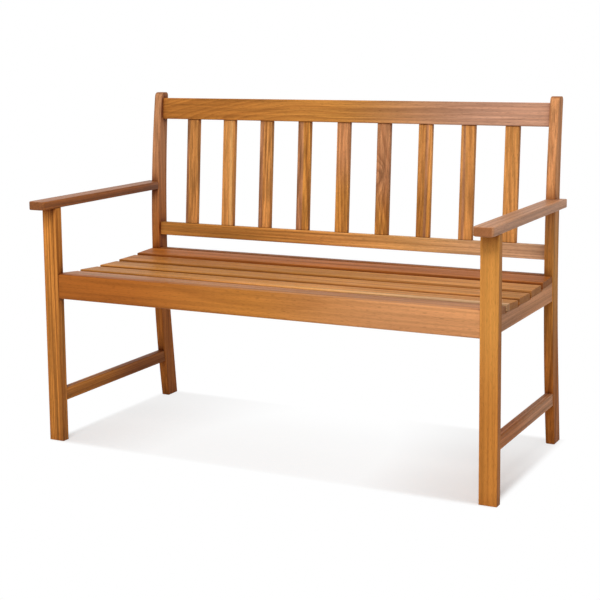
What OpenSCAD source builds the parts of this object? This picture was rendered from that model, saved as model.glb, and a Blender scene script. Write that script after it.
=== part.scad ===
// Two-seat slatted garden bench, built from separate boards, dowels and screws.
// +X runs along the bench, +Y towards the back, +Z up.
// The origin is on the ground under the middle of the bench.

/* [Overall] */
// Length over the outer edges of the armrests
bench_length = 1200; // [900:10:1800]
// Depth from the front ends of the armrests to the heels of the rear legs
bench_depth = 595; // [490:5:720]
// Height of the rear legs
bench_height = 863; // [700:1:1040]
// Height of the lowest line of the dished seat
seat_height = 420; // [340:1:505]
// Height of the armrests' top faces
arm_height = 617; // [540:1:740]

/* [Front legs] */
// Width of a front leg, along the bench
front_leg_w = 42.5; // [32:0.5:60]
// Depth of a front leg, front to back
front_leg_d = 23; // [20:0.5:40]

/* [Rear legs] */
// Thickness of a rear leg, along the bench
rear_leg_t = 23; // [19:0.5:32]
// Depth of a rear leg at the ground
rear_foot_d = 46; // [40:0.5:56]
// Depth of a rear leg at its waist, where it stands upright
rear_waist_d = 44.5; // [40:0.5:56]
// Depth of a rear leg at its top
rear_top_d = 34.5; // [30:0.5:40]
// Height of the waist above the ground
waist_height = 446; // [360:1:540]
// How far the top leans back from the waist, at the front face
top_rake = 33.5; // [15:1:70]
// Height of the straight stretch above the heel
heel_straight = 225; // [120:1:300]
// Angle of the straight stretch from upright, in degrees
heel_angle = 6; // [2:0.5:10]
// Radius of the two upper corners
leg_top_r = 11; // [4:0.5:14]

/* [Armrests] */
// Width of an armrest
arm_w = 46; // [38:1:80]
// Thickness of an armrest
arm_t = 21; // [16:0.5:32]
// How far an armrest stands past the outer face of its front leg
arm_side_overhang = 3.5; // [0:0.5:24]
// How far an armrest stands past the front face of its front leg
arm_front_overhang = 52; // [20:1:90]
// How far an armrest's tail stops short of the rear leg's back face
arm_tail_inset = 18; // [0:1:30]
// Radius of the armrest's front corners, seen from above
arm_corner_r = 11; // [4:1:20]

/* [Seat frame] */
// Height of the front apron
apron_h = 62.5; // [58:0.5:90]
// Thickness of the front apron
apron_t = 21; // [16:0.5:30]
// How far the apron's front face lies behind the front legs' front faces
apron_setback = 2; // [0:0.5:6]
// How far the apron's top stands above the lowest line of the seat
apron_rise = 9.5; // [0:0.5:14]
// Radius of the apron's upper front edge
apron_nose_r = 5; // [1:0.5:9]
// Thickness of a side rail
side_rail_t = 20; // [16:0.5:22]
// Thickness of the rear seat rail
rear_rail_t = 21; // [16:0.5:26]
// How far the rear seat rail's front face lies behind the legs' waist
rear_rail_setback = 3; // [1:0.5:12]
// How far the rear seat rail's top stands above the lowest line of the seat
rear_rail_rise = 11.5; // [4:0.5:16]
// Thickness of the centre support under the slats
support_t = 22; // [16:0.5:40]
// Least height of the centre support
support_h = 34; // [26:1:36]

/* [Seat slats] */
// Thickness of a seat slat
seat_slat_t = 16; // [12:0.5:19]
// Gap between neighbouring seat slats, and between apron and first slat
seat_gap = 10.5; // [5:0.5:16]
// Gap between the last seat slat and the rear legs
seat_back_gap = 1; // [0.5:0.5:4]
// Radius of the seat's dish
dish_r = 2550; // [1600:50:6000]
// Distance of the dish's lowest line from the back of the seat
dish_from_back = 250; // [180:1:300]
// How much less each slat tilts back than the dish does, in degrees
slat_tip = 1.8; // [0:0.1:2.5]
// Radius of a seat slat's long upper edges
seat_slat_r = 4.5; // [2:0.5:5]

/* [Back] */
// Height of the top back rail
top_rail_h = 58; // [50:1:90]
// How far the top back rail's upper edge lies below the rear legs' tops
top_rail_drop = 15; // [8:1:60]
// Height of the bottom back rail
bottom_rail_h = 36; // [30:1:60]
// Clear height of the bottom back rail above the lowest line of the seat
bottom_rail_rise = 47.5; // [30:1:100]
// Thickness of both back rails
back_rail_t = 24; // [20:0.5:24]
// How far the back rails lie behind the rear legs' front faces
back_rail_setback = 10.5; // [4:0.5:12]
// Width of a back slat
back_slat_w = 36.5; // [28:1:60]
// Thickness of a back slat
back_slat_t = 15; // [12:0.5:18]

/* [Stretchers] */
// Height of a low stretcher
stretcher_h = 32; // [28:1:60]
// Thickness of a low stretcher
stretcher_t = 20; // [16:0.5:22]
// Height of a stretcher's lower edge above the ground
stretcher_lift = 102; // [60:1:180]

/* [Joints] */
// Clearance left in every joint
joint_gap = 0.1; // [0.05:0.05:0.2]
// Clearance left past the end of every dowel and screw
hole_end_gap = 0.5; // [0.2:0.1:1]
// Diameter of the dowels in the long rails
rail_dowel_d = 10; // [8:0.5:12]
// Diameter of the dowels in the side frames
frame_dowel_d = 8; // [6:0.5:9]
// Depth of a dowel in the thin of a leg
dowel_in_leg = 14; // [10:0.5:16]
// Depth of a dowel in the end of a rail
dowel_in_rail = 25; // [15:1:40]
// Depth of a dowel in the end of a side rail or stretcher
dowel_in_side = 18; // [12:1:22]
// Depth of a dowel in the underside of an armrest
dowel_in_arm = 12.5; // [8:0.5:13]
// Height of a side rail's pair of dowels above the rail's lower edge
side_dowel_rise = 28; // [24:1:30]
// Distance between the two dowels in the end of a side rail or stretcher
side_dowel_pitch = 13; // [11:0.5:14]
// Distance of the apron's and rear rail's dowels from their edges
rail_dowel_inset = 11; // [8:0.5:12]
// Width of a back slat's tenon
tenon_w = 26; // [16:1:28]
// Thickness of a back slat's tenon
tenon_t = 8; // [6:0.5:10]
// Length of a back slat's tenon
tenon_l = 12; // [6:1:16]
// Diameter of a seat screw
screw_d = 5; // [4:0.5:6]
// Diameter of a seat screw's head
screw_head_d = 9; // [8:0.5:11]
// Length of a seat screw
screw_l = 38; // [34:1:40]
// Depth of a seat screw in its slat
screw_bite = 9; // [6:0.5:10]

/* [Edges] */
// Radius of the boards' eased edges
ease_r = 2.5; // [1:0.5:4]
// Radius of the end edges
end_r = 1.2; // [0.5:0.1:2]

/* [Hidden] */
SIDES = ["left", "right"];
SEAT_SLATS = 5;
BACK_SLATS = 9;
// Pieces in a full circle
ROUND = 48;
// How far a cutting shape stands past the face it cuts
CUT = 1;

// Outline of the rear leg, along Y
heel_bend_h = waist_height - heel_straight;
heel_bend_r = heel_bend_h / sin(heel_angle);
heel_set = heel_bend_r * (1 - cos(heel_angle)) + heel_straight * tan(heel_angle);
foot_set = heel_set + rear_waist_d - rear_foot_d;
back_rake = top_rake + rear_top_d - rear_waist_d;
top_h = bench_height - waist_height;
waist_y = bench_depth / 2 - heel_set - rear_waist_d;

// Places along X
front_leg_x = bench_length / 2 - arm_side_overhang - front_leg_w;
side_x = front_leg_x + rear_leg_t / 2;
frame_l = 2 * front_leg_x;
slat_l = 2 * side_x + side_rail_t;

// Places along Y
front_leg_y = -bench_depth / 2 + arm_front_overhang;
front_leg_back = front_leg_y + front_leg_d;
apron_y = front_leg_y + apron_setback;
apron_back = apron_y + apron_t;
rear_rail_y = waist_y + rear_rail_setback;
seat_front = max(apron_back, front_leg_back);
seat_back = waist_y - seat_back_gap;
dish_y = seat_back - dish_from_back;
seat_slat_w = (seat_back - seat_front - SEAT_SLATS * seat_gap) / SEAT_SLATS;

// Places along Z
arm_z = arm_height - arm_t;
apron_top = seat_height + apron_rise;
frame_z = apron_top - apron_h;
rear_rail_top = seat_height + rear_rail_rise;
side_dowel_z = frame_z + side_dowel_rise;
stretcher_mid = stretcher_lift + stretcher_h / 2;
screw_head_l = (screw_head_d - screw_d) / 2;

// Plane of the back frame: it leans with the rear legs
bottom_mid_z = seat_height + bottom_rail_rise + bottom_rail_h / 2;
top_mid_z = bench_height - top_rail_drop - top_rail_h / 2;
bottom_mid_y = leg_front(bottom_mid_z) + back_rail_setback;
top_mid_y = leg_front(top_mid_z) + back_rail_setback;
back_lean = atan2(top_mid_y - bottom_mid_y, top_mid_z - bottom_mid_z);
back_span = norm([top_mid_y - bottom_mid_y, top_mid_z - bottom_mid_z]);
back_slat_l = back_span - (top_rail_h + bottom_rail_h) / 2;
back_pitch = (frame_l + back_slat_w) / (BACK_SLATS + 1);

// ---- Curves ----

// Radius of an arc that starts upright and is set off by `offset` over `height`
function bow_r(height, offset) = (height * height + offset * offset) / (2 * offset);

// How far such an arc has come away from upright at height h
function bow(r, h) = r - sqrt(r * r - h * h);

// Front face of the rear leg at height z
function leg_front(z) =
    z < waist_height
        ? waist_y + bow(bow_r(waist_height, foot_set), waist_height - z)
        : waist_y + bow(bow_r(top_h, top_rake), z - waist_height);

// Back face of the rear leg at height z
function leg_back(z) =
    z < heel_straight
        ? waist_y + rear_waist_d + heel_set - z * tan(heel_angle)
        : z < waist_height
            ? waist_y + rear_waist_d + bow(heel_bend_r, waist_height - z)
            : waist_y + rear_waist_d + bow(bow_r(top_h, back_rake), z - waist_height);

// Height of the dish at depth y
function dish(y) = seat_height + bow(dish_r, y - dish_y);

// Middle of seat slat i (from 1), at its top face, and its tilt
function slat_y(i) = seat_front + seat_gap + seat_slat_w / 2 + (i - 1) * (seat_slat_w + seat_gap);
function slat_z(i) = dish(slat_y(i));
function slat_tilt(i) = asin((slat_y(i) - dish_y) / dish_r) - slat_tip;

// Point of seat slat i that lies `along` behind its middle and `down` below its top face
function slat_point(i, along, down) = [
    slat_y(i) + along * cos(slat_tilt(i)) + down * sin(slat_tilt(i)),
    slat_z(i) + along * sin(slat_tilt(i)) - down * cos(slat_tilt(i))
];

// Upper outline of a bearer that carries the slats, from y0 to y1
function slat_bed(y0, y1) =
    let (
        d = seat_slat_t + joint_gap,
        half = seat_slat_w / 2,
        seats = [for (i = [1:SEAT_SLATS], a = [-half, half]) slat_point(i, a, d)]
    )
    concat([[y0, seats[0][1]]], seats, [[y1, seats[len(seats) - 1][1]]]);

// Height of that outline under the middle of slat i
function bed_z(i) = slat_point(i, 0, seat_slat_t + joint_gap)[1];

// ---- Shapes that repeat ----

// Rectangle from the origin with four quarter-round corners
module soft_rect(w, h, r) {
    translate([r, 0]) square([w - 2 * r, h]);
    translate([0, r]) square([w, h - 2 * r]);
    for (x = [r, w - r], y = [r, h - r])
        translate([x, y]) circle(r, $fn = ROUND);
}

// Rectangle whose upper corners have radius r_top and lower corners r_low
module two_r_rect(w, h, r_top, r_low) {
    intersection() {
        soft_rect(w, h, r_top);
        translate([0, h / 2]) square([w, h / 2]);
    }
    intersection() {
        soft_rect(w, h, r_low);
        square([w, h / 2]);
    }
}

// Board with a corner at the origin and every edge eased: `along` names its long axis
module board(size, along) {
    intersection() {
        linear_extrude(size.z)
            soft_rect(size.x, size.y, along == "z" ? ease_r : end_r);
        translate([0, size.y, 0]) rotate([90, 0, 0])
            linear_extrude(size.y)
                soft_rect(size.x, size.z, along == "y" ? ease_r : end_r);
        rotate([90, 0, 90])
            linear_extrude(size.x)
                soft_rect(size.y, size.z, along == "x" ? ease_r : end_r);
    }
}

// Copy of the children for each side: the right side is drawn, the left is its mirror image
module on_side(side) {
    mirror([side == "left" ? 1 : 0, 0, 0]) children();
}

module both_sides() {
    for (s = SIDES) on_side(s) children();
}

// Rod of diameter d along axis a ("x", "y" or "z"), from -before to +after of point p
module rod(p, a, before, after, d) {
    turn = a == "x" ? [0, 90, 0] : a == "y" ? [-90, 0, 0] : [0, 0, 0];
    translate(p) rotate(turn) translate([0, 0, -before])
        cylinder(h = before + after, d = d, $fn = ROUND);
}

// Dowel, or with hole = true the hole drilled for it
module dowel(p, a, before, after, d, hole) {
    grow = hole ? joint_gap : 0;
    spare = hole ? hole_end_gap : 0;
    rod(p, a, before + spare, after + spare, d + 2 * grow);
}

// Seat screw with its point up and its head flush in the counterbore, tip at height z_tip
module screw(x, y, z_tip) {
    point_l = 5;
    tip_r = 0.4;
    translate([x, y, z_tip - screw_l])
        rotate_extrude($fn = ROUND)
            polygon([
                [0, 0], [screw_head_d / 2, 0], [screw_d / 2, screw_head_l],
                [screw_d / 2, screw_l - point_l], [tip_r, screw_l], [0, screw_l]
            ]);
}

// Room for a seat screw: shank hole, countersink and, for a sunk head, a counterbore from below
module screw_room(x, y, z_tip, z_low) {
    head_z = z_tip - screw_l;
    shank_room = screw_d + 2 * joint_gap;
    head_room = screw_head_d + 2 * joint_gap;
    translate([x, y, head_z]) {
        cylinder(h = screw_l, d = shank_room, $fn = ROUND);
        cylinder(h = screw_head_l, d1 = head_room, d2 = shank_room, $fn = ROUND);
    }
    if (head_z > z_low)
        translate([x, y, z_low - CUT])
            cylinder(h = head_z - z_low + CUT, d = head_room, $fn = ROUND);
}

// ---- Where dowels and screws go ----

// Heights of the two dowels in the end of a side rail or stretcher, about their middle
function pair(z_mid) = [z_mid - side_dowel_pitch / 2, z_mid + side_dowel_pitch / 2];

module apron_dowel_set(hole) {
    y = apron_y + apron_t / 2;
    for (z = [frame_z + rail_dowel_inset, apron_top - rail_dowel_inset])
        dowel([front_leg_x, y, z], "x", dowel_in_rail, dowel_in_rail, rail_dowel_d, hole);
}

module side_rail_front_dowel_set(hole) {
    for (z = pair(side_dowel_z))
        dowel([side_x, front_leg_back, z], "y", dowel_in_leg, dowel_in_side, frame_dowel_d, hole);
}

module side_rail_rear_dowel_set(hole) {
    for (z = pair(side_dowel_z))
        dowel([side_x, waist_y, z], "y", dowel_in_side, dowel_in_side, frame_dowel_d, hole);
}

module stretcher_dowel_set(hole) {
    d = frame_dowel_d;
    for (z = pair(stretcher_mid)) {
        dowel([side_x, front_leg_back, z], "y", dowel_in_leg, dowel_in_side, d, hole);
        dowel([side_x, leg_front(stretcher_mid), z], "y", dowel_in_side, dowel_in_side, d, hole);
    }
}

module rear_rail_dowel_set(hole) {
    y = rear_rail_y + rear_rail_t / 2;
    for (z = [frame_z + rail_dowel_inset, rear_rail_top - rail_dowel_inset])
        dowel([front_leg_x, y, z], "x", dowel_in_rail, dowel_in_leg, rail_dowel_d, hole);
}

// Two dowels in the end of a back rail whose middle is `up` along the back from the bottom rail's
module back_rail_dowel_set(up, rail_h, d, hole) {
    in_back_plane()
        for (v = [-1, 1] * (rail_h / 2 - rail_dowel_inset))
            dowel([front_leg_x, back_rail_t / 2, up + v], "x", dowel_in_rail, dowel_in_leg, d, hole);
}

module arm_post_dowel_set(hole) {
    for (dx = [-1, 1] * front_leg_w / 4)
        dowel([front_leg_x + front_leg_w / 2 + dx, front_leg_y + front_leg_d / 2, arm_z],
              "z", dowel_in_rail, dowel_in_arm, frame_dowel_d, hole);
}

module arm_back_dowel_set(hole) {
    x = (bench_length / 2 - arm_w + front_leg_x + rear_leg_t) / 2;
    p = [x, leg_front(arm_z), arm_height - arm_t / 2];
    dowel(p, "y", dowel_in_rail, dowel_in_side, frame_dowel_d, hole);
}

module seat_support_dowel_set(hole) {
    z = seat_height - seat_slat_t - support_h / 2;
    dowel([0, apron_back, z], "y", dowel_in_leg, dowel_in_rail, rail_dowel_d, hole);
    dowel([0, rear_rail_y, z], "y", dowel_in_rail, dowel_in_leg, rail_dowel_d, hole);
}

module screw_row(x) {
    for (i = [1:SEAT_SLATS]) screw(x, slat_y(i), bed_z(i) + screw_bite);
}

module screw_room_row(x, z_low) {
    for (i = [1:SEAT_SLATS]) screw_room(x, slat_y(i), bed_z(i) + screw_bite, z_low);
}

// ---- Side frames ----

module front_leg() {
    color("peru") difference() {
        translate([front_leg_x, front_leg_y, 0])
            board([front_leg_w, front_leg_d, arm_z - joint_gap], "z");
        apron_dowel_set(true);
        side_rail_front_dowel_set(true);
        stretcher_dowel_set(true);
        arm_post_dowel_set(true);
    }
}

// Outline of the rear leg at height z: a rectangle with eased corners, taken in by `inset`
function leg_ring(z, inset) =
    let (
        head = max(0, z - (bench_height - leg_top_r)),
        nose = leg_top_r - sqrt(leg_top_r * leg_top_r - head * head),
        x0 = front_leg_x + inset,
        x1 = front_leg_x + rear_leg_t - inset,
        y0 = leg_front(z) + nose + inset,
        y1 = leg_back(z) - nose - inset,
        corners = [[x1 - ease_r, y1 - ease_r], [x0 + ease_r, y1 - ease_r],
                   [x0 + ease_r, y0 + ease_r], [x1 - ease_r, y0 + ease_r]],
        steps = 4
    )
    [for (c = [0:3], k = [0:steps])
        let (a = 90 * (c + k / steps))
        [corners[c].x + ease_r * cos(a), corners[c].y + ease_r * sin(a), z]];

// The rear leg is a stack of such outlines, joined into one skin
module rear_leg_blank() {
    shaft_rings = 40;
    head_rings = 6;
    head_turn = 80;
    shaft_top = bench_height - leg_top_r;
    rings = concat(
        [leg_ring(0, end_r)],
        [for (k = [0:shaft_rings]) leg_ring(end_r + (shaft_top - end_r) * k / shaft_rings, 0)],
        [for (k = [1:head_rings]) leg_ring(shaft_top + leg_top_r * sin(head_turn * k / head_rings), 0)],
        [leg_ring(bench_height, end_r)]
    );
    n = len(rings[0]);
    last = len(rings) - 1;
    polyhedron(
        points = [for (r = rings, p = r) p],
        faces = concat(
            [[for (k = [0:n - 1]) k]],
            [for (j = [0:last - 1], k = [0:n - 1])
                [j * n + k, (j + 1) * n + k, (j + 1) * n + (k + 1) % n, j * n + (k + 1) % n]],
            [[for (k = [0:n - 1]) last * n + n - 1 - k]]
        )
    );
}

module rear_leg() {
    color("peru") difference() {
        rear_leg_blank();
        side_rail_rear_dowel_set(true);
        stretcher_dowel_set(true);
        rear_rail_dowel_set(true);
        back_rail_dowel_set(0, bottom_rail_h, frame_dowel_d, true);
        back_rail_dowel_set(back_span, top_rail_h, rail_dowel_d, true);
        arm_back_dowel_set(true);
    }
}

// Flat board with two rounded front corners, every edge eased
module arm_blank(length) {
    r = arm_corner_r;
    // straight sides, behind the rounded corners
    translate([0, r, 0]) intersection() {
        translate([0, length - r, 0]) rotate([90, 0, 0])
            linear_extrude(length - r) soft_rect(arm_w, arm_t, ease_r);
        translate([0, -arm_w, 0]) rotate([90, 0, 90])
            linear_extrude(arm_w) soft_rect(length - r + arm_w, arm_t, end_r);
    }
    // front end, between the rounded corners
    translate([r, 0, 0]) rotate([90, 0, 90])
        linear_extrude(arm_w - 2 * r)
            intersection() {
                soft_rect(4 * r, arm_t, ease_r);
                square([r, arm_t]);
            }
    // the two corners
    for (c = [[r, 180], [arm_w - r, 270]])
        translate([c[0], r, 0]) rotate([0, 0, c[1]])
            rotate_extrude(angle = 90, $fn = 2 * ROUND)
                intersection() {
                    translate([-r, 0]) soft_rect(2 * r, arm_t, ease_r);
                    square([r, arm_t]);
                }
}

module armrest() {
    x0 = bench_length / 2 - arm_w;
    y0 = -bench_depth / 2;
    length = leg_back(arm_z) - arm_tail_inset - y0;
    notch_x = front_leg_x + rear_leg_t + joint_gap;
    notch_y = leg_front(arm_z) - joint_gap;
    color("rosybrown") difference() {
        translate([x0, y0, arm_z]) arm_blank(length);
        translate([x0 - CUT, notch_y, arm_z - CUT])
            cube([notch_x - x0 + CUT, length, arm_t + 2 * CUT]);
        arm_post_dowel_set(true);
        arm_back_dowel_set(true);
    }
}

// Bearer of thickness t from y0 to the leg or rail behind, cut to carry the slats
module bearer(x, t, y0, y1_low, y1_top, z_low) {
    bed = slat_bed(y0, y1_top);
    intersection() {
        translate([x - t / 2, 0, 0]) rotate([90, 0, 90])
            linear_extrude(t)
                polygon(concat([[y1_low, z_low], [y0, z_low]], bed));
        translate([x - t / 2, y1_low + CUT, z_low]) rotate([90, 0, 0])
            linear_extrude(y1_low - y0 + 2 * CUT)
                two_r_rect(t, 2 * apron_h, end_r, ease_r);
    }
}

module side_rail() {
    color("rosybrown") difference() {
        bearer(side_x, side_rail_t, front_leg_back + joint_gap,
               leg_front(frame_z) - joint_gap, waist_y - joint_gap, frame_z);
        side_rail_front_dowel_set(true);
        side_rail_rear_dowel_set(true);
        screw_room_row(side_x, frame_z);
    }
}

module stretcher() {
    y0 = front_leg_back + joint_gap;
    z0 = stretcher_lift;
    z1 = stretcher_lift + stretcher_h;
    y_low = leg_front(z0) - joint_gap;
    y_top = leg_front(z1) - joint_gap;
    color("sienna") difference() {
        intersection() {
            translate([side_x - stretcher_t / 2, 0, 0]) rotate([90, 0, 90])
                linear_extrude(stretcher_t)
                    polygon([[y0, z0], [y_low, z0], [y_top, z1], [y0, z1]]);
            translate([side_x - stretcher_t / 2, y_low, z0]) rotate([90, 0, 0])
                linear_extrude(y_low - y0)
                    soft_rect(stretcher_t, stretcher_h, ease_r);
        }
        stretcher_dowel_set(true);
    }
}

// ---- Rails between the side frames ----

// Apron's cross-section: its upper front edge has a larger round than the others
module apron_section() {
    intersection() {
        soft_rect(2 * apron_t, apron_h, apron_nose_r);
        soft_rect(apron_t, apron_h + 2 * apron_nose_r, ease_r);
        square([apron_t, apron_h]);
    }
}

module front_apron() {
    length = frame_l - 2 * joint_gap;
    color("peru") difference() {
        translate([-length / 2, apron_y, frame_z])
            rotate([90, 0, 90]) linear_extrude(length) apron_section();
        both_sides() apron_dowel_set(true);
        seat_support_dowel_set(true);
    }
}

module rear_seat_rail() {
    color("peru") difference() {
        translate([-front_leg_x + joint_gap, rear_rail_y, frame_z])
            board([frame_l - 2 * joint_gap, rear_rail_t, rear_rail_top - frame_z], "x");
        both_sides() rear_rail_dowel_set(true);
        seat_support_dowel_set(true);
    }
}

module seat_support() {
    z_low = seat_height - seat_slat_t - support_h;
    color("burlywood") difference() {
        bearer(0, support_t, apron_back + joint_gap,
               rear_rail_y - joint_gap, rear_rail_y - joint_gap, z_low);
        seat_support_dowel_set(true);
        screw_room_row(0, z_low);
    }
}

// ---- Seat ----

module seat_slat(i) {
    color("peru") difference() {
        translate([-slat_l / 2, slat_y(i), slat_z(i)]) rotate([slat_tilt(i), 0, 0])
            translate([0, -seat_slat_w / 2, -seat_slat_t])
                intersection() {
                    rotate([90, 0, 90]) linear_extrude(slat_l)
                        two_r_rect(seat_slat_w, seat_slat_t, seat_slat_r, end_r);
                    linear_extrude(seat_slat_t) soft_rect(slat_l, seat_slat_w, ease_r);
                    translate([0, seat_slat_w, 0]) rotate([90, 0, 0])
                        linear_extrude(seat_slat_w) two_r_rect(slat_l, seat_slat_t, ease_r, end_r);
                }
        for (x = [-side_x, 0, side_x])
            rod([x, slat_y(i), bed_z(i)], "z", CUT, screw_bite + hole_end_gap, screw_d + 2 * joint_gap);
    }
}

// ---- Back ----

// Frame of the back: X along the rails, Y through their thickness, Z up the lean
module in_back_plane() {
    translate([0, bottom_mid_y, bottom_mid_z]) rotate([-back_lean, 0, 0]) children();
}

// Middle of back slat i (from 1), along X
function back_slat_x(i) = (i - (BACK_SLATS + 1) / 2) * back_pitch;

module back_tenon(i, z, hole) {
    grow = hole ? joint_gap : 0;
    translate([back_slat_x(i) - tenon_w / 2 - grow, back_rail_t / 2 - tenon_t / 2 - grow, z - grow])
        cube([tenon_w + 2 * grow, tenon_t + 2 * grow, 2 * tenon_l + 2 * grow]);
}

module top_back_rail() {
    color("peru") difference() {
        in_back_plane() {
            difference() {
                translate([-front_leg_x + joint_gap, 0, back_span - top_rail_h / 2])
                    board([frame_l - 2 * joint_gap, back_rail_t, top_rail_h], "x");
                for (i = [1:BACK_SLATS]) back_tenon(i, back_span - top_rail_h / 2 - tenon_l, true);
            }
        }
        both_sides() back_rail_dowel_set(back_span, top_rail_h, rail_dowel_d, true);
    }
}

module bottom_back_rail() {
    color("peru") difference() {
        in_back_plane() {
            difference() {
                translate([-front_leg_x + joint_gap, 0, -bottom_rail_h / 2])
                    board([frame_l - 2 * joint_gap, back_rail_t, bottom_rail_h], "x");
                for (i = [1:BACK_SLATS]) back_tenon(i, bottom_rail_h / 2 - tenon_l, true);
            }
        }
        both_sides() back_rail_dowel_set(0, bottom_rail_h, frame_dowel_d, true);
    }
}

module back_slat(i) {
    z0 = bottom_rail_h / 2;
    color("sandybrown") in_back_plane() {
        translate([back_slat_x(i) - back_slat_w / 2, (back_rail_t - back_slat_t) / 2, z0 + joint_gap])
            board([back_slat_w, back_slat_t, back_slat_l - 2 * joint_gap], "z");
        back_tenon(i, z0 - tenon_l, false);
        back_tenon(i, z0 + back_slat_l - tenon_l, false);
    }
}

// ---- Dowels and screws ----

module apron_dowels() {
    color("tan") both_sides() apron_dowel_set(false);
}

module side_rail_front_dowels() {
    color("tan") both_sides() side_rail_front_dowel_set(false);
}

module side_rail_rear_dowels() {
    color("tan") both_sides() side_rail_rear_dowel_set(false);
}

module stretcher_dowels() {
    color("tan") both_sides() stretcher_dowel_set(false);
}

module rear_rail_dowels() {
    color("tan") both_sides() rear_rail_dowel_set(false);
}

module top_rail_dowels() {
    color("tan") both_sides() back_rail_dowel_set(back_span, top_rail_h, rail_dowel_d, false);
}

module bottom_rail_dowels() {
    color("tan") both_sides() back_rail_dowel_set(0, bottom_rail_h, frame_dowel_d, false);
}

module arm_post_dowels() {
    color("tan") both_sides() arm_post_dowel_set(false);
}

module arm_back_dowels() {
    color("tan") both_sides() arm_back_dowel_set(false);
}

module seat_support_dowels() {
    color("tan") seat_support_dowel_set(false);
}

module seat_screws(x) {
    color("silver") screw_row(x);
}

for (s = SIDES) {
    on_side(s) front_leg();
    on_side(s) rear_leg();
    on_side(s) armrest();
    on_side(s) side_rail();
    on_side(s) stretcher();
}
front_apron();
rear_seat_rail();
seat_support();
top_back_rail();
bottom_back_rail();
for (i = [1:SEAT_SLATS])
    seat_slat(i);
for (i = [1:BACK_SLATS])
    back_slat(i);
apron_dowels();
side_rail_front_dowels();
side_rail_rear_dowels();
stretcher_dowels();
rear_rail_dowels();
top_rail_dowels();
bottom_rail_dowels();
arm_post_dowels();
arm_back_dowels();
seat_support_dowels();
seat_screws(-side_x);  // seat_screws_left
seat_screws(side_x);  // seat_screws_right
seat_screws(0);  // seat_screws_centre
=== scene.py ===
"""Slatted garden bench in oiled hardwood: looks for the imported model, in metres."""

from math import radians

import bpy
from mathutils import Matrix, Vector


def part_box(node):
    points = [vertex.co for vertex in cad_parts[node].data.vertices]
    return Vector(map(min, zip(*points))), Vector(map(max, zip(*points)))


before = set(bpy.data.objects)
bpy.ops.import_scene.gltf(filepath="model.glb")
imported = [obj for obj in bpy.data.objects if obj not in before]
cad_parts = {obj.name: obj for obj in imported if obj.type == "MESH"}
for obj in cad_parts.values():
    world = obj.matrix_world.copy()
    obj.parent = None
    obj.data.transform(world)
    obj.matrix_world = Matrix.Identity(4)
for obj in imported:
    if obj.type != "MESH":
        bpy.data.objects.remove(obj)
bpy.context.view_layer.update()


# ---- Camera ----

CAMERA_PLACE = Vector((1.5126, -2.9581, 1.0109))
# How far it turns to the left, tilts down, and leans
CAMERA_TURN = radians(27.063)
CAMERA_TILT = radians(7.5)
CAMERA_ROLL = radians(-0.593)
# Focal length in millimetres, and lens shift as a share of the frame's width
CAMERA_LENS = 81.73
CAMERA_SHIFT = -0.1389
# How far it sees, in metres
CAMERA_REACH = 100


def set_camera():
    """Looks a little down from the bench's front right, with a lens shift that lessens the tilt it needs."""
    camera = bpy.data.objects.new("camera", bpy.data.cameras.new("camera"))
    bpy.context.scene.collection.objects.link(camera)
    turn = Matrix.Rotation(CAMERA_TURN, 4, "Z")
    tilt = Matrix.Rotation(radians(90) - CAMERA_TILT, 4, "X")
    roll = Matrix.Rotation(CAMERA_ROLL, 4, "Z")
    camera.matrix_world = Matrix.Translation(CAMERA_PLACE) @ turn @ tilt @ roll
    camera.data.lens = CAMERA_LENS
    camera.data.shift_y = CAMERA_SHIFT
    camera.data.clip_end = CAMERA_REACH
    bpy.context.scene.camera = camera


set_camera()


# ---- Building nodes ----

# Colour sockets of a Mix node: its two inputs and its output
MIX_FIRST, MIX_SECOND, MIX_RESULT = 6, 7, 2

MIDDLE_GREY = (0.5, 0.5, 0.5)
WHITE = (1, 1, 1, 1)


def srgb(red, green, blue):
    """Linear colour of an 8-bit screen colour."""
    def linear(level):
        level /= 255
        return level / 12.92 if level <= 0.04045 else ((level + 0.055) / 1.055) ** 2.4
    return (linear(red), linear(green), linear(blue), 1)


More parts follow.
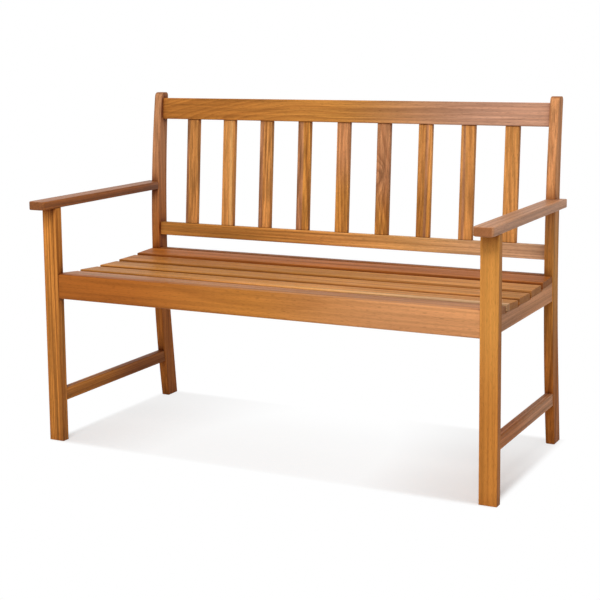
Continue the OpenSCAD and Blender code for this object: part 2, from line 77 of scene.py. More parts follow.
class Nodes:
    """Short ways to add and join the nodes of one node tree."""

    def __init__(self, tree):
        self.tree = tree

    def add(self, kind, **settings):
        """New node of this kind."""
        node = self.tree.nodes.new(kind)
        for name, value in settings.items():
            setattr(node, name, value)
        return node

    def named(self, name):
        """The node of this name."""
        return self.tree.nodes[name]

    def put(self, socket, value):
        """Joins another socket to this one, or sets its plain value."""
        if isinstance(value, bpy.types.NodeSocket):
            self.tree.links.new(value, socket)
        else:
            socket.default_value = value

    def fill(self, node, *values):
        """The node, with these values in its first sockets."""
        for socket, value in zip(node.inputs, values):
            self.put(socket, value)
        return node

    def math(self, operation, *values):
        """Result of an operation on numbers."""
        return self.fill(self.add("ShaderNodeMath", operation=operation), *values).outputs[0]

    def product(self, first, *others):
        """The numbers multiplied together."""
        for other in others:
            first = self.math("MULTIPLY", first, other)
        return first

    def plus(self, value, share, amount):
        """The value, and this amount more where the share is 1."""
        return self.math("ADD", value, self.product(share, amount))

    def lessen(self, value, share, amount):
        """The value, less this part of itself where the share is 1."""
        return self.product(value, self.math("SUBTRACT", 1.0, self.product(share, amount)))

    def vector(self, operation, *values):
        """Result of an operation on vectors."""
        node = self.fill(self.add("ShaderNodeVectorMath", operation=operation), *values)
        return node.outputs["Value" if operation in ("LENGTH", "DOT_PRODUCT") else "Vector"]

    def scale(self, vector, amount):
        """The vector times a number."""
        node = self.fill(self.add("ShaderNodeVectorMath", operation="SCALE"), vector)
        self.put(node.inputs["Scale"], amount)
        return node.outputs["Vector"]

    def split(self, vector):
        """The vector's parts, named X, Y and Z."""
        return self.fill(self.add("ShaderNodeSeparateXYZ"), vector).outputs

    def join(self, *parts):
        """Vector with these parts."""
        return self.fill(self.add("ShaderNodeCombineXYZ"), *parts).outputs[0]

    def ramp(self, value, low, high, to_low=0.0, to_high=1.0):
        """Smooth step of the value from low to high."""
        node = self.add("ShaderNodeMapRange", interpolation_type="SMOOTHSTEP")
        return self.fill(node, value, low, high, to_low, to_high).outputs["Result"]

    def fall(self, value, low, high):
        """Smooth step down, from 1 where the value is low to 0 where it is high."""
        return self.ramp(value, low, high, 1.0, 0.0)

    def noise(self, place, waves, detail=2.0, output="Fac"):
        """Noise with this many waves a metre along each axis."""
        node = self.add("ShaderNodeTexNoise", noise_dimensions="3D")
        self.put(node.inputs["Vector"], self.vector("MULTIPLY", place, waves))
        self.put(node.inputs["Scale"], 1.0)
        self.put(node.inputs["Detail"], detail)
        return node.outputs[output]

    def noise_along(self, value, waves, detail=2.0):
        """Noise with this many waves for each 1 of the value."""
        node = self.add("ShaderNodeTexNoise", noise_dimensions="1D")
        self.put(node.inputs["W"], value)
        self.put(node.inputs["Scale"], waves)
        self.put(node.inputs["Detail"], detail)
        return node.outputs["Fac"]

    def sway(self, place, waves, width):
        """How far noise moves each place about, within this width."""
        noise = self.noise(place, waves, output="Color")
        return self.scale(self.vector("SUBTRACT", noise, MIDDLE_GREY), width)

    def facing(self, direction):
        """1 on faces that look along this direction or against it, 0 on those that run along it."""
        normal = self.add("ShaderNodeNewGeometry").outputs["Normal"]
        return self.math("ABSOLUTE", self.vector("DOT_PRODUCT", normal, direction))

    def mix(self, share, first, second, blend="MIX"):
        """The first colour, passing into the second as the share rises."""
        node = self.add("ShaderNodeMix", data_type="RGBA", blend_type=blend)
        self.put(node.inputs["Factor"], share)
        self.put(node.inputs[MIX_FIRST], first)
        self.put(node.inputs[MIX_SECOND], second)
        return node.outputs[MIX_RESULT]

    def shaded(self, color, shade):
        """The colour times a number."""
        grey = self.fill(self.add("ShaderNodeCombineColor"), shade, shade, shade)
        return self.mix(1.0, color, grey.outputs[0], "MULTIPLY")

    def bump(self, height, depth, strength=1.0):
        """Normal of a surface with this relief, whose full depth is in metres."""
        node = self.add("ShaderNodeBump")
        node.inputs["Strength"].default_value = strength
        node.inputs["Distance"].default_value = depth
        self.put(node.inputs["Height"], height)
        return node.outputs["Normal"]

    def surface(self, color, roughness, normal):
        """The material's Principled shader, with what changes over its surface."""
        shader = self.named("Principled BSDF")
        self.put(shader.inputs["Base Color"], color)
        self.put(shader.inputs["Roughness"], roughness)
        self.put(shader.inputs["Normal"], normal)
        return shader

    def group(self, group, **values):
        """Outputs of a node group placed here: `Ring_Width` names the input "Ring Width"."""
        node = self.add("ShaderNodeGroup", node_tree=group)
        for name, value in values.items():
            self.put(node.inputs[name.replace("_", " ")], value)
        return node.outputs


def new_group(name, inputs, outputs):
    """Nodes of a new shader group, and the sockets that its inputs come from and its outputs go to.

    Inputs are given as (name, kind, value), and outputs as (name, kind).
    """
    group = bpy.data.node_groups.new(name, "ShaderNodeTree")
    for socket_name, kind, value in inputs:
        socket = group.interface.new_socket(socket_name, in_out="INPUT", socket_type="NodeSocket" + kind)
        socket.default_value = value
    for socket_name, kind in outputs:
        group.interface.new_socket(socket_name, in_out="OUTPUT", socket_type="NodeSocket" + kind)
    nodes = Nodes(group)
    return nodes, nodes.add("NodeGroupInput").outputs, nodes.add("NodeGroupOutput").inputs


def new_material(name):
    """Material and its nodes, which start as a plain Principled shader."""
    material = bpy.data.materials.new(name)
    material.use_nodes = True
    return material, Nodes(material.node_tree)


# ---- Growth rings ----

RING_WIDTH = 0.006

# Waves of the log and ripples of its rings, a metre along the grain and across it, and how wide they are
LOG_WAVES = (1.1, 7, 7)
WANDER = 0.02
RIPPLE_WAVES = (9, 70, 70)
RIPPLE_WIDTH = 0.0035

# Fat and lean years: waves for each year, and how many years they move a ring at most
YEAR_WAVES = 0.45
YEAR_UNEVENNESS = 1.8

# How late in the year a ring darkens, and the part of the year in which its dark wood ends
LATE_WOOD_POWER = 2.2
LATE_WOOD_END = (0.86, 1.0)

# Bands of heartwood that follow the rings: waves a metre, and where in the noise a band starts and is whole
BAND_WAVES = 55.0
BAND_EDGE = (0.42, 0.68)

# A place far from every board, for boards without a knot
NO_KNOT = (9, 9, 9)
KNOT_SIZE = 0.008
# A knot is drawn out along the grain. Its soft edge, how far off it moves the rings, and how far it moves
# them are in knot sizes.
KNOT_STRETCH = (0.4, 1, 1)
KNOT_EDGE = (0.5, 1.15)
KNOT_REACH = 3.5
KNOT_BULGE = 1.6


def growth_rings_group():
    """Rings round a pith that runs along X. Out come the rings, the bands that follow them, and the knot.

    Bend curves the log ever more towards the board's low end, where its rings then cross the board.
    """
    nodes, given, out = new_group(
        "growth rings",
        [("Place", "Vector", (0, 0, 0)), ("Pith", "Vector", (0, 0.05, 0.1)),
         ("Ring Width", "Float", RING_WIDTH), ("Wander", "Float", WANDER), ("Bend", "Float", 0),
         ("Knot", "Vector", NO_KNOT), ("Knot Size", "Float", KNOT_SIZE)],
        [("Rings", "Float"), ("Bands", "Float"), ("Knot", "Float")])
    waves = nodes.sway(given["Place"], LOG_WAVES, given["Wander"])
    ripples = nodes.sway(given["Place"], RIPPLE_WAVES, RIPPLE_WIDTH)
    place = nodes.vector("ADD", nodes.vector("ADD", given["Place"], waves), ripples)

    from_pith = nodes.vector("SUBTRACT", place, given["Pith"])
    towards_end = nodes.math("MINIMUM", nodes.split(from_pith)["X"], 0.0)
    lift = nodes.join(0, 0, nodes.product(nodes.math("POWER", towards_end, 2.0), given["Bend"]))
    across = nodes.vector("ADD", nodes.vector("MULTIPLY", from_pith, (0, 1, 1)), lift)

    to_knot = nodes.vector("MULTIPLY", nodes.vector("SUBTRACT", place, given["Knot"]), KNOT_STRETCH)
    knot_sizes = nodes.math("DIVIDE", nodes.vector("LENGTH", to_knot), given["Knot Size"])
    bulge = nodes.product(nodes.fall(knot_sizes, 0.0, KNOT_REACH), given["Knot Size"])
    radius = nodes.plus(nodes.vector("LENGTH", across), bulge, KNOT_BULGE)

    years = nodes.math("DIVIDE", radius, given["Ring Width"])
    season = nodes.math("FRACT", nodes.plus(years, nodes.noise_along(years, YEAR_WAVES), YEAR_UNEVENNESS))
    late = nodes.math("POWER", season, LATE_WOOD_POWER)
    bands = nodes.noise_along(radius, BAND_WAVES, detail=1.0)
    nodes.put(out["Rings"], nodes.product(late, nodes.fall(season, *LATE_WOOD_END)))
    nodes.put(out["Bands"], nodes.ramp(bands, *BAND_EDGE))
    nodes.put(out["Knot"], nodes.fall(knot_sizes, *KNOT_EDGE))
    return nodes.tree


# ---- Fibres ----

# Waves a metre along the grain and across it
STREAK_WAVES = (2.6, 150, 150)
FIBRE_WAVES = (26, 1100, 1100)
PORE_WAVES = (75, 1500, 1500)
CLOUD_WAVES = (2.2, 11, 11)
# Where in the noise a pore starts and is whole
PORE_EDGE = (0.62, 0.74)


def fibres_group():
    """Lengthwise fibres, streaks a few millimetres wide, short dark pores, and broad soft clouds."""
    nodes, given, out = new_group(
        "wood fibres",
        [("Place", "Vector", (0, 0, 0))],
        [("Streaks", "Float"), ("Fibres", "Float"), ("Pores", "Float"), ("Clouds", "Float")])
    pores = nodes.noise(given["Place"], PORE_WAVES, detail=0.0)
    nodes.put(out["Streaks"], nodes.noise(given["Place"], STREAK_WAVES, detail=2.5))
    nodes.put(out["Fibres"], nodes.noise(given["Place"], FIBRE_WAVES))
    nodes.put(out["Pores"], nodes.ramp(pores, *PORE_EDGE))
    nodes.put(out["Clouds"], nodes.noise(given["Place"], CLOUD_WAVES))
    return nodes.tree


# ---- Strips of other wood ----

# Waves of a strip's edges, a metre along the grain and across it, how wide they are, and how soft it is
STRIP_WAVES = (2.5, 15, 15)
STRIP_SWAY = 0.012
STRIP_SOFTNESS = 0.002


def wood_strip_group():
    """1 on a strip of heartwood or sapwood that runs along the board, from Low to High across it."""
    nodes, given, out = new_group(
        "wood strip",
        [("Place", "Vector", (0, 0, 0)), ("Across", "Float", 0), ("Low", "Float", 0),
         ("High", "Float", 0.01), ("Softness", "Float", STRIP_SOFTNESS)],
        [("Strip", "Float")])

    def soft_edge(name):
        """Start and end of one of the strip's edges."""
        return [nodes.math(way, given[name], given["Softness"]) for way in ("SUBTRACT", "ADD")]

    sway = nodes.math("SUBTRACT", nodes.noise(given["Place"], STRIP_WAVES), 0.5)
    across = nodes.plus(given["Across"], sway, STRIP_SWAY)
    rise = nodes.ramp(across, *soft_edge("Low"))
    nodes.put(out["Strip"], nodes.product(rise, nodes.fall(across, *soft_edge("High"))))
    return nodes.tree


# ---- Sawn ends ----

# How squarely a face cuts the grain where it starts to look sawn, and where it wholly does
SAWN_EDGE = (0.55, 0.85)


def sawn_ends_group():
    """1 on the faces that cut across the grain, whose direction is Grain."""
    nodes, given, out = new_group("sawn ends", [("Grain", "Vector", (1, 0, 0))], [("Ends", "Float")])
    nodes.put(out["Ends"], nodes.ramp(nodes.facing(given["Grain"]), *SAWN_EDGE))
    return nodes.tree


# ---- Worn edges and painted edge highlights ----

# Width of an eased edge, and how level its face is with the rounded one where lightening starts and is whole
EASED_EDGE_WIDTH = 0.002
EASED_EDGE_LEVELS = (0.995, 0.90)
BEVEL_SAMPLES = 6


def edge_wear_and_highlight_group():
    """1 on eased edges and corners, where wear lightens the wood, and on some boards a painted highlight."""
    nodes, given, out = new_group("worn edges", [("Width", "Float", EASED_EDGE_WIDTH)], [("Edges", "Float")])
    rounded = nodes.add("ShaderNodeBevel", samples=BEVEL_SAMPLES)
    nodes.put(rounded.inputs["Radius"], given["Width"])
    flat = nodes.add("ShaderNodeNewGeometry").outputs["True Normal"]
    level = nodes.vector("DOT_PRODUCT", rounded.outputs["Normal"], flat)
    nodes.put(out["Edges"], nodes.ramp(level, *EASED_EDGE_LEVELS))
    return nodes.tree


# ---- Painted shade in joints and gaps ----

JOINT_SHADE_AMOUNT = 0.6
# How far off a neighbour still casts it, and how open a place is where it is deepest and where it ends
JOINT_SHADE_REACH = 0.045
JOINT_SHADE_OPENNESS = (0.50, 0.95)
OPENNESS_SAMPLES = 6
# How much of it shows up to the first height over the ground, and from the second height up
JOINT_SHADE_HEIGHTS = (0.01, 0.08)
JOINT_SHADE_SHARES = (0.25, 1.0)
# How squarely a face looks along Across where the painted shade on it starts, and where it is whole
SIDE_SHADE_FACING = (0.45, 0.85)


def joint_shade_group():
    """Painted shade in joints, in gaps between boards and under overhangs, from 0 to Amount at the deepest.

    Sides is how much painted shade also goes on the faces that look along Across, as in the gaps of the
    seat.
    Less of it goes low on the legs, which stand free on the ground.
    """
    nodes, given, out = new_group(
        "joint grime",
        [("Reach", "Float", JOINT_SHADE_REACH), ("Amount", "Float", JOINT_SHADE_AMOUNT),
         ("Across", "Vector", (0, 1, 0)), ("Sides", "Float", 0)],
        [("Grime", "Float")])
    openness = nodes.add("ShaderNodeAmbientOcclusion", samples=OPENNESS_SAMPLES)
    nodes.put(openness.inputs["Distance"], given["Reach"])
    height = nodes.split(nodes.add("ShaderNodeNewGeometry").outputs["Position"])["Z"]
    corner = nodes.product(nodes.fall(openness.outputs["AO"], *JOINT_SHADE_OPENNESS), given["Amount"],
                           nodes.ramp(height, *JOINT_SHADE_HEIGHTS, *JOINT_SHADE_SHARES))
    side = nodes.product(nodes.ramp(nodes.facing(given["Across"]), *SIDE_SHADE_FACING), given["Sides"])
    nodes.put(out["Grime"], nodes.math("MAXIMUM", corner, side))
    return nodes.tree


# ---- Tone of the oiled wood ----

# What is left of the wood's red, green and blue under the deepest painted shade
DEEPEST_SHADE = (0.29, 0.12, 0.05, 1)

# How strongly ring lines show, and how far sawn ends take their own tone
RING_STRENGTH = 0.75
END_STRENGTH = 0.7

# Noise from low to high, and the shade of the wood at each
STREAK_SHADE = (0.30, 0.70, 1.24, 0.74)
CLOUD_SHADE = (0.25, 0.75, 0.86, 1.14)
FIBRE_SHADE = (0.30, 0.70, 1.06, 0.92)

# How much calmer the figure is on sawn ends, how much darker pores, ends and knots are, and how much
# lighter worn edges are
END_CALM = 0.6
PORE_DARKNESS = 0.28
END_DARKNESS = 0.10
KNOT_DARKNESS = 0.30
EDGE_WEAR = 0.07

# Streaks from low to high, and the roughness at each, then what ends, pores and worn edges add to it
STREAK_ROUGHNESS = (0.2, 0.8, 0.38, 0.50)
END_ROUGHNESS = 0.22
PORE_ROUGHNESS = 0.12
EDGE_ROUGHNESS = -0.05

# How far pores, rings and fibres sink, as shares of the relief's depth
PORE_SINK = 0.6
RING_SINK = 0.25
FIBRE_SINK = 0.35


def oiled_tone_group():
    """Colour, roughness and height of an oiled board from its grain."""
    nodes, given, out = new_group(
        "oiled tone",
        [("Pale", "Color", WHITE), ("Ring", "Color", WHITE), ("Heart", "Color", WHITE),
         ("Heart Share", "Float", 0.5), ("Figure", "Float", 1.0), ("Grime", "Float", 0),
         ("Rings", "Float", 0), ("Bands", "Float", 0), ("Knot", "Float", 0),
         ("Streaks", "Float", 0.5), ("Fibres", "Float", 0.5), ("Pores", "Float", 0),
         ("Clouds", "Float", 0.5), ("Ends", "Float", 0), ("End Tone", "Color", WHITE), ("Edges", "Float", 0),
         ("Edge Wear", "Float", EDGE_WEAR)],
        [("Color", "Color"), ("Roughness", "Float"), ("Height", "Float")])
    color = nodes.mix(nodes.product(given["Bands"], given["Heart Share"]), given["Pale"], given["Heart"])
    color = nodes.mix(nodes.product(given["Rings"], RING_STRENGTH, given["Figure"]), color, given["Ring"])
    color = nodes.mix(nodes.product(given["Ends"], END_STRENGTH), color, given["End Tone"])
    # Painted shade: joints, gaps and the wood under overhangs pass towards a deep red-brown
    color = nodes.mix(given["Grime"], color, nodes.mix(1.0, color, DEEPEST_SHADE, "MULTIPLY"))

    shade = nodes.product(nodes.ramp(given["Streaks"], *STREAK_SHADE),
                          nodes.ramp(given["Clouds"], *CLOUD_SHADE),
                          nodes.ramp(given["Fibres"], *FIBRE_SHADE))
    lively = nodes.lessen(given["Figure"], given["Ends"], END_CALM)
    shade = nodes.plus(1.0, nodes.math("SUBTRACT", shade, 1.0), lively)
    shade = nodes.lessen(shade, given["Pores"], PORE_DARKNESS)
    shade = nodes.lessen(shade, given["Ends"], END_DARKNESS)
    shade = nodes.lessen(shade, given["Knot"], KNOT_DARKNESS)
    # Eased edges are lighter: wear, and on some boards a painted highlight
    shade = nodes.product(shade, nodes.plus(1.0, given["Edges"], given["Edge Wear"]))
    nodes.put(out["Color"], nodes.shaded(color, shade))

    rough = nodes.ramp(given["Streaks"], *STREAK_ROUGHNESS)
    rough = nodes.plus(rough, given["Ends"], END_ROUGHNESS)
    rough = nodes.plus(rough, given["Pores"], PORE_ROUGHNESS)
    nodes.put(out["Roughness"], nodes.plus(rough, given["Edges"], EDGE_ROUGHNESS))

    height = nodes.plus(1.0, given["Pores"], -PORE_SINK)
    height = nodes.plus(height, given["Rings"], -RING_SINK)
    nodes.put(out["Height"], nodes.plus(height, given["Fibres"], -FIBRE_SINK))
    return nodes.tree


GROWTH_RINGS = growth_rings_group()
FIBRES = fibres_group()
WOOD_STRIP = wood_strip_group()
SAWN_ENDS = sawn_ends_group()
EDGE_WEAR_AND_HIGHLIGHT = edge_wear_and_highlight_group()
JOINT_SHADE = joint_shade_group()
OILED_TONE = oiled_tone_group()


# ---- Wood ----

# Pale wood, ring lines and heartwood of each shade of board
SHADES = {
    "golden": (srgb(205, 140, 66), srgb(150, 90, 38), srgb(166, 105, 48)),
    "honey": (srgb(220, 153, 84), srgb(170, 106, 50), srgb(184, 118, 61)),
    "cream": (srgb(228, 172, 104), srgb(196, 136, 74), srgb(206, 150, 90)),
    # Palest shade, only for a painted highlight on a seat slat's front edge
    "bleached": (srgb(244, 200, 152), srgb(224, 172, 122), srgb(232, 182, 134)),
    "amber": (srgb(191, 123, 54), srgb(138, 79, 32), srgb(152, 93, 40)),
    "russet": (srgb(184, 110, 46), srgb(132, 70, 28), srgb(148, 84, 34)),
    "rust": (srgb(166, 95, 36), srgb(122, 62, 24), srgb(138, 76, 30)),
    "rosy": (srgb(206, 144, 94), srgb(162, 100, 60), srgb(174, 112, 70)),
    "pink": (srgb(198, 150, 122), srgb(158, 112, 86), srgb(172, 124, 98)),
    "shell": (srgb(215, 169, 131), srgb(171, 126, 92), srgb(187, 140, 105)),
    "brown": (srgb(160, 97, 46), srgb(112, 60, 26), srgb(128, 74, 34)),
    "mauve": (srgb(188, 132, 90), srgb(142, 90, 56), srgb(156, 104, 68)),
}
PALE, LINE, HEART = range(3)

# Order of the axes that puts the grain first, and its direction
GRAIN = {"x": ("XYZ", (1, 0, 0)), "y": ("YZX", (0, 1, 0)), "z": ("ZXY", (0, 0, 1))}

# How far apart two boards are cut from the endless log
SEED_STEP = Vector((3.7, 1.9, 0.8))

# How softly one shade passes into the next, as a share of the board's half length
DRIFT_SOFTNESS = 0.4

RELIEF_DEPTH = 0.0006
RELIEF_STRENGTH = 0.25
OIL_WEIGHT = 0.02
OIL_ROUGHNESS = 0.30


def drift(nodes, along, half, shades, layer):
    """Colour that passes from shade to shade along a board of this half length."""
    color = SHADES[shades[0]][layer]
    for count, shade in enumerate(shades[1:], start=1):
        turn = (2 * count / len(shades) - 1) * half
        share = nodes.ramp(along, turn - DRIFT_SOFTNESS * half, turn + DRIFT_SOFTNESS * half)
        color = nodes.mix(share, color, SHADES[shade][layer])
    return color


def tones(nodes, along, half, run):
    """Pale wood, ring lines and heartwood of a run of shades along a board of this half length."""
    return [drift(nodes, along, half, run.split(), layer) for layer in (PALE, LINE, HEART)]


def wood(name, axis, shades, pith, seed, ring=RING_WIDTH, wander=WANDER, bend=0, heart=0.5, figure=1.0,
         strip=None, knot=None, painted_shade=JOINT_SHADE_AMOUNT, side_shade=0, ends=None, edge=EDGE_WEAR, gloss=0.05):
    """Oiled wood for one board, whose grain runs along `axis`. Places are from the board's middle.

    `shades` follow each other along the board. `pith` is the heart of its log, across the grain, and `knot`
    the place of a knot, along the grain first. `seed` says where in the log the board is cut.
    `ring` is the width of a ring, `wander` how far the log waves, and `bend` how much its low end curves.
    `heart` is how much heartwood shows in the bands, and `figure` how strongly the grain shows.
    `strip` is other shades, the axis it is measured across, and its two edges.
    The amounts of painted shade come next: in the joints, and on the front and back faces.
    `ends` is the shade of the sawn ends, `edge` how much lighter the eased edges are, from wear and, on some
    boards, a painted highlight, and `gloss` how much the oil shines.
    """
    low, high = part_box(name)
    material, nodes = new_material(name + " wood")
    order, grain = GRAIN[axis]

    object_place = nodes.add("ShaderNodeTexCoord").outputs["Object"]
    parts = nodes.split(nodes.vector("SUBTRACT", object_place, tuple((low + high) / 2)))
    cut_from = SEED_STEP * seed
    place = nodes.vector("ADD", nodes.join(*[parts[letter] for letter in order]), tuple(cut_from))

    rings = nodes.group(GROWTH_RINGS, Place=place, Pith=tuple(cut_from + Vector((0, *pith))),
                        Ring_Width=ring, Wander=wander, Bend=bend,
                        Knot=tuple(cut_from + Vector(knot)) if knot else NO_KNOT)
    fibres = nodes.group(FIBRES, Place=place)

    along = parts[order[0]]
    half = (high - low).dot(Vector(grain)) / 2
    colors = tones(nodes, along, half, shades)
    if strip:
        others, across, near, far = strip
        strips = nodes.group(WOOD_STRIP, Place=place, Across=parts[across.upper()], Low=near, High=far)
        pairs = zip(colors, tones(nodes, along, half, others))
        colors = [nodes.mix(strips["Strip"], color, other) for color, other in pairs]

    tone = nodes.group(OILED_TONE, Pale=colors[PALE], Ring=colors[LINE], Heart=colors[HEART],
                       Heart_Share=heart, Figure=figure,
                       Rings=rings["Rings"], Bands=rings["Bands"], Knot=rings["Knot"],
                       Streaks=fibres["Streaks"], Fibres=fibres["Fibres"],
                       Pores=fibres["Pores"], Clouds=fibres["Clouds"],
                       Ends=nodes.group(SAWN_ENDS, Grain=grain)["Ends"],
                       End_Tone=SHADES[ends][HEART] if ends else colors[HEART],
                       Edges=nodes.group(EDGE_WEAR_AND_HIGHLIGHT)["Edges"], Edge_Wear=edge,
                       Grime=nodes.group(JOINT_SHADE, Amount=painted_shade, Sides=side_shade)["Grime"])
    shader = nodes.surface(tone["Color"], tone["Roughness"],
                           nodes.bump(tone["Height"], RELIEF_DEPTH, RELIEF_STRENGTH))
    shader.inputs["Specular IOR Level"].default_value = gloss
    shader.inputs["Coat Weight"].default_value = OIL_WEIGHT
    shader.inputs["Coat Roughness"].default_value = OIL_ROUGHNESS
    return material


def clad(name, material):
    """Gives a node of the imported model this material."""
    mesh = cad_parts[name].data
    mesh.materials.clear()
    mesh.materials.append(material)


# ---- Boards ----

# What boards of a kind share
UPRIGHT = dict(axis="z", wander=0.008)
SEAT_SLAT = dict(axis="x", ends="mauve")

# What sets each board apart. Its place in this table is its seed.
BOARDS = {
    # The golden inner side face is painted light: it makes that face lighter than its front
    "front_leg_left": dict(
        UPRIGHT, shades="amber", pith=(0.10, 0.01), ring=0.0075, figure=1.5,
        strip=("golden", "x", 0.0205, 0.03), painted_shade=1.0),
    # Brown on its right side face is painted shade, and its brighter eased edges a painted highlight
    "front_leg_right": dict(
        UPRIGHT, shades="amber amber golden golden", pith=(0.09, 0.05), ring=0.010, heart=0.3, figure=0.45,
        strip=("brown", "x", 0.0205, 0.03), painted_shade=0.95, edge=0.25, gloss=0.03),
    "rear_leg_left": dict(
        UPRIGHT, shades="russet russet mauve", pith=(0.09, 0.03), heart=0.3, figure=0.8, painted_shade=0.9),
    # Its russet foot is painted shade, darker low down under the seat
    "rear_leg_right": dict(
        UPRIGHT, shades="russet golden rosy", pith=(0.08, 0.05), heart=0.4, gloss=0.02),
    "armrest_left": dict(
        axis="y", shades="brown", pith=(0.06, -0.03), wander=0.01, heart=0.6, gloss=0.25),
    "armrest_right": dict(
        axis="y", shades="mauve", pith=(0.05, -0.07), wander=0.01, heart=0.3, figure=0.8,
        ends="russet", gloss=0.25),
    "side_rail_left": dict(
        axis="y", shades="russet", pith=(0.03, 0.08)),
    "side_rail_right": dict(
        axis="y", shades="mauve rosy", pith=(0.03, 0.08), figure=0.7),
    "stretcher_left": dict(
        axis="y", shades="amber brown", pith=(0.08, 0.02), wander=0.01),
    "stretcher_right": dict(
        axis="y", shades="russet mauve", pith=(0.05, 0.04), wander=0.01),
    # Its darker rust left end is partly its tone and partly painted light that falls off towards the left
    "front_apron": dict(
        axis="x", shades="rust amber rosy", pith=(0.09, 0.02), ring=0.014, wander=0.05, heart=0.2,
        figure=0.45),
    "rear_seat_rail": dict(
        axis="x", shades="brown", pith=(0.06, -0.05)),
    "seat_support": dict(
        axis="y", shades="golden", pith=(0.05, 0.04)),
    "top_back_rail": dict(
        axis="x", shades="amber golden pink", pith=(0.03, -0.05), ring=0.012, wander=0.10, bend=0.28,
        heart=0.35, figure=0.8),
    "bottom_back_rail": dict(
        axis="x", shades="golden golden honey cream shell", pith=(0.04, 0.07), ring=0.007, heart=0.3,
        painted_shade=0.35),
    # Darker front and back faces on seat slats are painted shade in the gaps between them
    "seat_slat_1": dict(
        SEAT_SLAT, shades="mauve", pith=(0.02, -0.09), ring=0.009, heart=0.3, side_shade=0.5),
    # Its front passes into the palest shade at the right end: a painted highlight on its rounded front edge
    "seat_slat_2": dict(
        SEAT_SLAT, shades="golden honey", pith=(0.08, -0.03), ring=0.008,
        strip=("golden honey cream bleached", "y", -0.08, -0.020)),
    "seat_slat_3": dict(
        SEAT_SLAT, shades="golden honey", pith=(-0.08, -0.03), ring=0.009, side_shade=0.6),
    "seat_slat_4": dict(
        SEAT_SLAT, shades="amber golden honey", pith=(0.07, -0.04), ring=0.007, side_shade=0.2),
    "seat_slat_5": dict(
        SEAT_SLAT, shades="russet", pith=(-0.07, -0.04), ring=0.007, heart=0.6, side_shade=0.6),
    "back_slat_1": dict(
        UPRIGHT, shades="honey", pith=(0.08, 0.02), ring=0.011, figure=1.2,
        strip=("mauve", "x", -0.02, -0.010)),
    "back_slat_2": dict(
        UPRIGHT, shades="honey", pith=(0.09, 0.03), ring=0.012, heart=0.3, figure=0.8,
        strip=("cream", "x", 0.006, 0.015)),
    "back_slat_3": dict(
        UPRIGHT, shades="honey", pith=(-0.08, 0.03), ring=0.010, wander=0.010, figure=1.3,
        strip=("mauve", "x", -0.02, -0.006)),
    "back_slat_4": dict(
        UPRIGHT, shades="golden", pith=(0.05, 0.03), ring=0.014, wander=0.025, heart=1.0, figure=1.3,
        strip=("mauve", "x", -0.02, 0.000)),
    "back_slat_5": dict(
        UPRIGHT, shades="golden rosy", pith=(0.08, 0.03), ring=0.010, heart=0.3),
    "back_slat_6": dict(
        UPRIGHT, shades="golden mauve mauve", pith=(0.03, 0.07), ring=0.007, wander=WANDER, figure=1.2,
        knot=(0.01, -0.004, -0.008)),
    "back_slat_7": dict(
        UPRIGHT, shades="golden honey", pith=(-0.08, 0.03), ring=0.009, wander=0.010,
        strip=("mauve", "x", 0.002, 0.010)),
    "back_slat_8": dict(
        UPRIGHT, shades="honey", pith=(0.08, 0.04), ring=0.012, heart=0.4, figure=0.8,
        strip=("mauve", "x", -0.012, -0.004)),
    "back_slat_9": dict(
        UPRIGHT, shades="honey", pith=(0.09, 0.03), ring=0.011, heart=0.1),
}

for seed, (name, look) in enumerate(BOARDS.items(), start=1):
    clad(name, wood(name, seed=seed, **look))


# ---- Dowels and screws ----

# Where fine noise is low, and where it is high
NOISE_SPREAD = (0.3, 0.7)


def clouded(name, waves, edge, colors, roughness, depth, metallic=0.0):
    """Material whose colour and roughness pass from the first to the second in fine clouds."""
    material, nodes = new_material(name)
    object_place = nodes.add("ShaderNodeTexCoord").outputs["Object"]
    clouds = nodes.noise(object_place, (waves, waves, waves), detail=3.0)
    shader = nodes.surface(nodes.mix(nodes.ramp(clouds, *edge), *colors),
                           nodes.ramp(clouds, *NOISE_SPREAD, *roughness), nodes.bump(clouds, depth))
    shader.inputs["Metallic"].default_value = metallic
    return material


def turned_beech():
    """Raw turned dowel: pale wood with fine flecks and no oil."""
    return clouded("dowel beech", waves=420, edge=(0.35, 0.65),
                   colors=(srgb(214, 184, 142), srgb(190, 156, 112)), roughness=(0.62, 0.74), depth=0.0002)


def zinc_plate():
    """Zinc-plated screw: satin metal with a faint cloudy bloom."""
    return clouded("screw zinc", waves=300, edge=NOISE_SPREAD,
                   colors=(srgb(196, 198, 202), srgb(168, 170, 174)), roughness=(0.30, 0.45), depth=0.0001,
                   metallic=1.0)


BEECH = turned_beech()
ZINC = zinc_plate()
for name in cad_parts:
    if "dowels" in name:
        clad(name, BEECH)
    if "screws" in name:
        clad(name, ZINC)


# ---- Floor ----

FLOOR_GREY = (0.86, 0.86, 0.86, 1)
# How far the floor reaches from the bench
FLOOR_REACH = 40

# How much of the shadow shows at the bench's front, and at its left and right ends
SHADOW_MIDDLE = 0.22
SHADOW_LEFT = 0.60
SHADOW_RIGHT = 0.95
# How much of that is left at the back of the ends, and how near the bench's middle they fade out
SHADOW_BACK = 0.3
SHADOW_FADE = 1 / 6
# How soft the shadow's outline is
SHADOW_EDGE = 0.014


def seen_directly(nodes):
    """1 for rays that show the floor or the world: to the eye, in a gloss or through glass."""
    path = nodes.add("ShaderNodeLightPath").outputs
    shown = nodes.math("MAXIMUM", path["Is Camera Ray"], path["Is Glossy Ray"])
    return nodes.math("MAXIMUM", shown, path["Is Transmission Ray"])


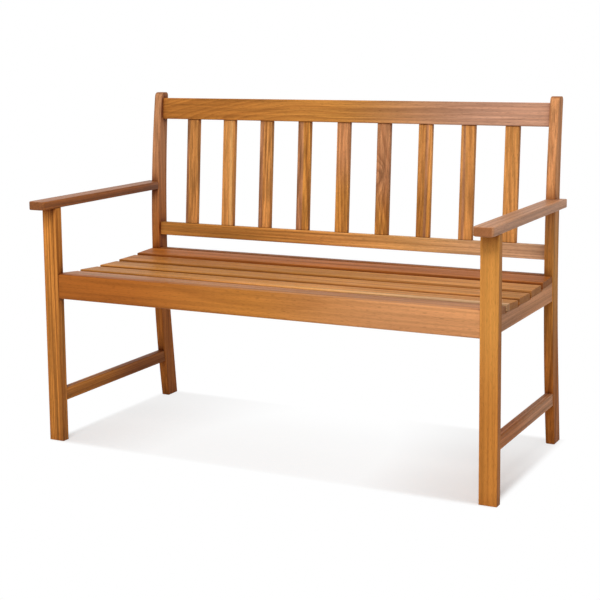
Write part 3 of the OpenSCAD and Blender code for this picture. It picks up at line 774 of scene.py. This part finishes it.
def shadow_share(nodes):
    """How much of the lit floor shows in place of plain white: most between the feet, none further off."""
    front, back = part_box("front_leg_left")[0].y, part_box("rear_leg_left")[1].y
    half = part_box("front_leg_right")[1].x - SHADOW_EDGE
    place = nodes.split(nodes.add("ShaderNodeTexCoord").outputs["Object"])
    off_x = nodes.math("SUBTRACT", nodes.math("ABSOLUTE", place["X"]), half)
    off_y = nodes.math("ABSOLUTE", nodes.math("SUBTRACT", place["Y"], (front + back) / 2))
    off_y = nodes.math("SUBTRACT", off_y, (back - front) / 2)
    under = nodes.fall(nodes.math("MAXIMUM", off_x, off_y), -SHADOW_EDGE, SHADOW_EDGE)
    middle = nodes.ramp(place["Y"], front, back, SHADOW_MIDDLE, 0.0)
    left = nodes.ramp(place["X"], -half, -half * SHADOW_FADE, SHADOW_LEFT, 0.0)
    right = nodes.ramp(place["X"], half * SHADOW_FADE, half, 0.0, SHADOW_RIGHT)
    ends = nodes.product(nodes.math("MAXIMUM", left, right),
                         nodes.ramp(place["Y"], front, back, 1.0, SHADOW_BACK))
    return nodes.product(under, nodes.math("MAXIMUM", middle, ends))


def floor_paint():
    """White that keeps the bench's soft shadow, and that lights the bench as plain paint does."""
    material, nodes = new_material("studio floor")
    nodes.tree.nodes.clear()
    paint = nodes.fill(nodes.add("ShaderNodeBsdfDiffuse"), FLOOR_GREY)
    bright = nodes.fill(nodes.add("ShaderNodeBsdfDiffuse"), WHITE)
    glow = nodes.fill(nodes.add("ShaderNodeEmission"), WHITE)
    shown = nodes.fill(nodes.add("ShaderNodeMixShader"),
                       shadow_share(nodes), glow.outputs[0], bright.outputs[0])
    whole = nodes.fill(nodes.add("ShaderNodeMixShader"),
                       seen_directly(nodes), paint.outputs[0], shown.outputs[0])
    nodes.fill(nodes.add("ShaderNodeOutputMaterial"), whole.outputs[0])
    return material


def lay_floor():
    """Wide floor under the bench."""
    mesh = bpy.data.meshes.new("floor")
    corners = ((-1, -1), (1, -1), (1, 1), (-1, 1))
    mesh.from_pydata([(FLOOR_REACH * x, FLOOR_REACH * y, 0) for x, y in corners], [], [(0, 1, 2, 3)])
    mesh.materials.append(floor_paint())
    floor = bpy.data.objects.new("floor", mesh)
    bpy.context.scene.collection.objects.link(floor)


# ---- World and lamps ----

WORLD_LEVEL = 0.42
LAMP_AIM = Vector((0, 0, 0.4))


def light_world():
    """Even studio light all round, which shows as white."""
    world = bpy.data.worlds.new("studio")
    world.use_nodes = True
    nodes = Nodes(world.node_tree)
    background = nodes.named("Background")
    nodes.put(background.inputs["Color"], WHITE)
    nodes.put(background.inputs["Strength"], nodes.ramp(seen_directly(nodes), 0.0, 1.0, WORLD_LEVEL, 1.0))
    bpy.context.scene.world = world


def hang_lamp(name, place, width, height, power):
    """Flat lamp that points at the middle of the bench."""
    lamp = bpy.data.lights.new(name, "AREA")
    lamp.shape = "RECTANGLE"
    lamp.size = width
    lamp.size_y = height
    lamp.energy = power
    holder = bpy.data.objects.new(name, lamp)
    bpy.context.scene.collection.objects.link(holder)
    holder.location = place
    holder.rotation_euler = (LAMP_AIM - Vector(place)).to_track_quat("-Z", "Y").to_euler()


lay_floor()
light_world()
hang_lamp("front lamp", place=(0.7, -2.9, 3.2), width=2.0, height=1.4, power=86)
hang_lamp("top lamp", place=(0.0, -0.1, 3.2), width=0.9, height=0.7, power=12)
hang_lamp("low lamp", place=(-0.4, -3.8, 1.0), width=2.0, height=1.0, power=12)
hang_lamp("right lamp", place=(3.4, -0.6, 1.6), width=1.6, height=1.6, power=5)

bpy.context.scene.view_settings.view_transform = "Standard"
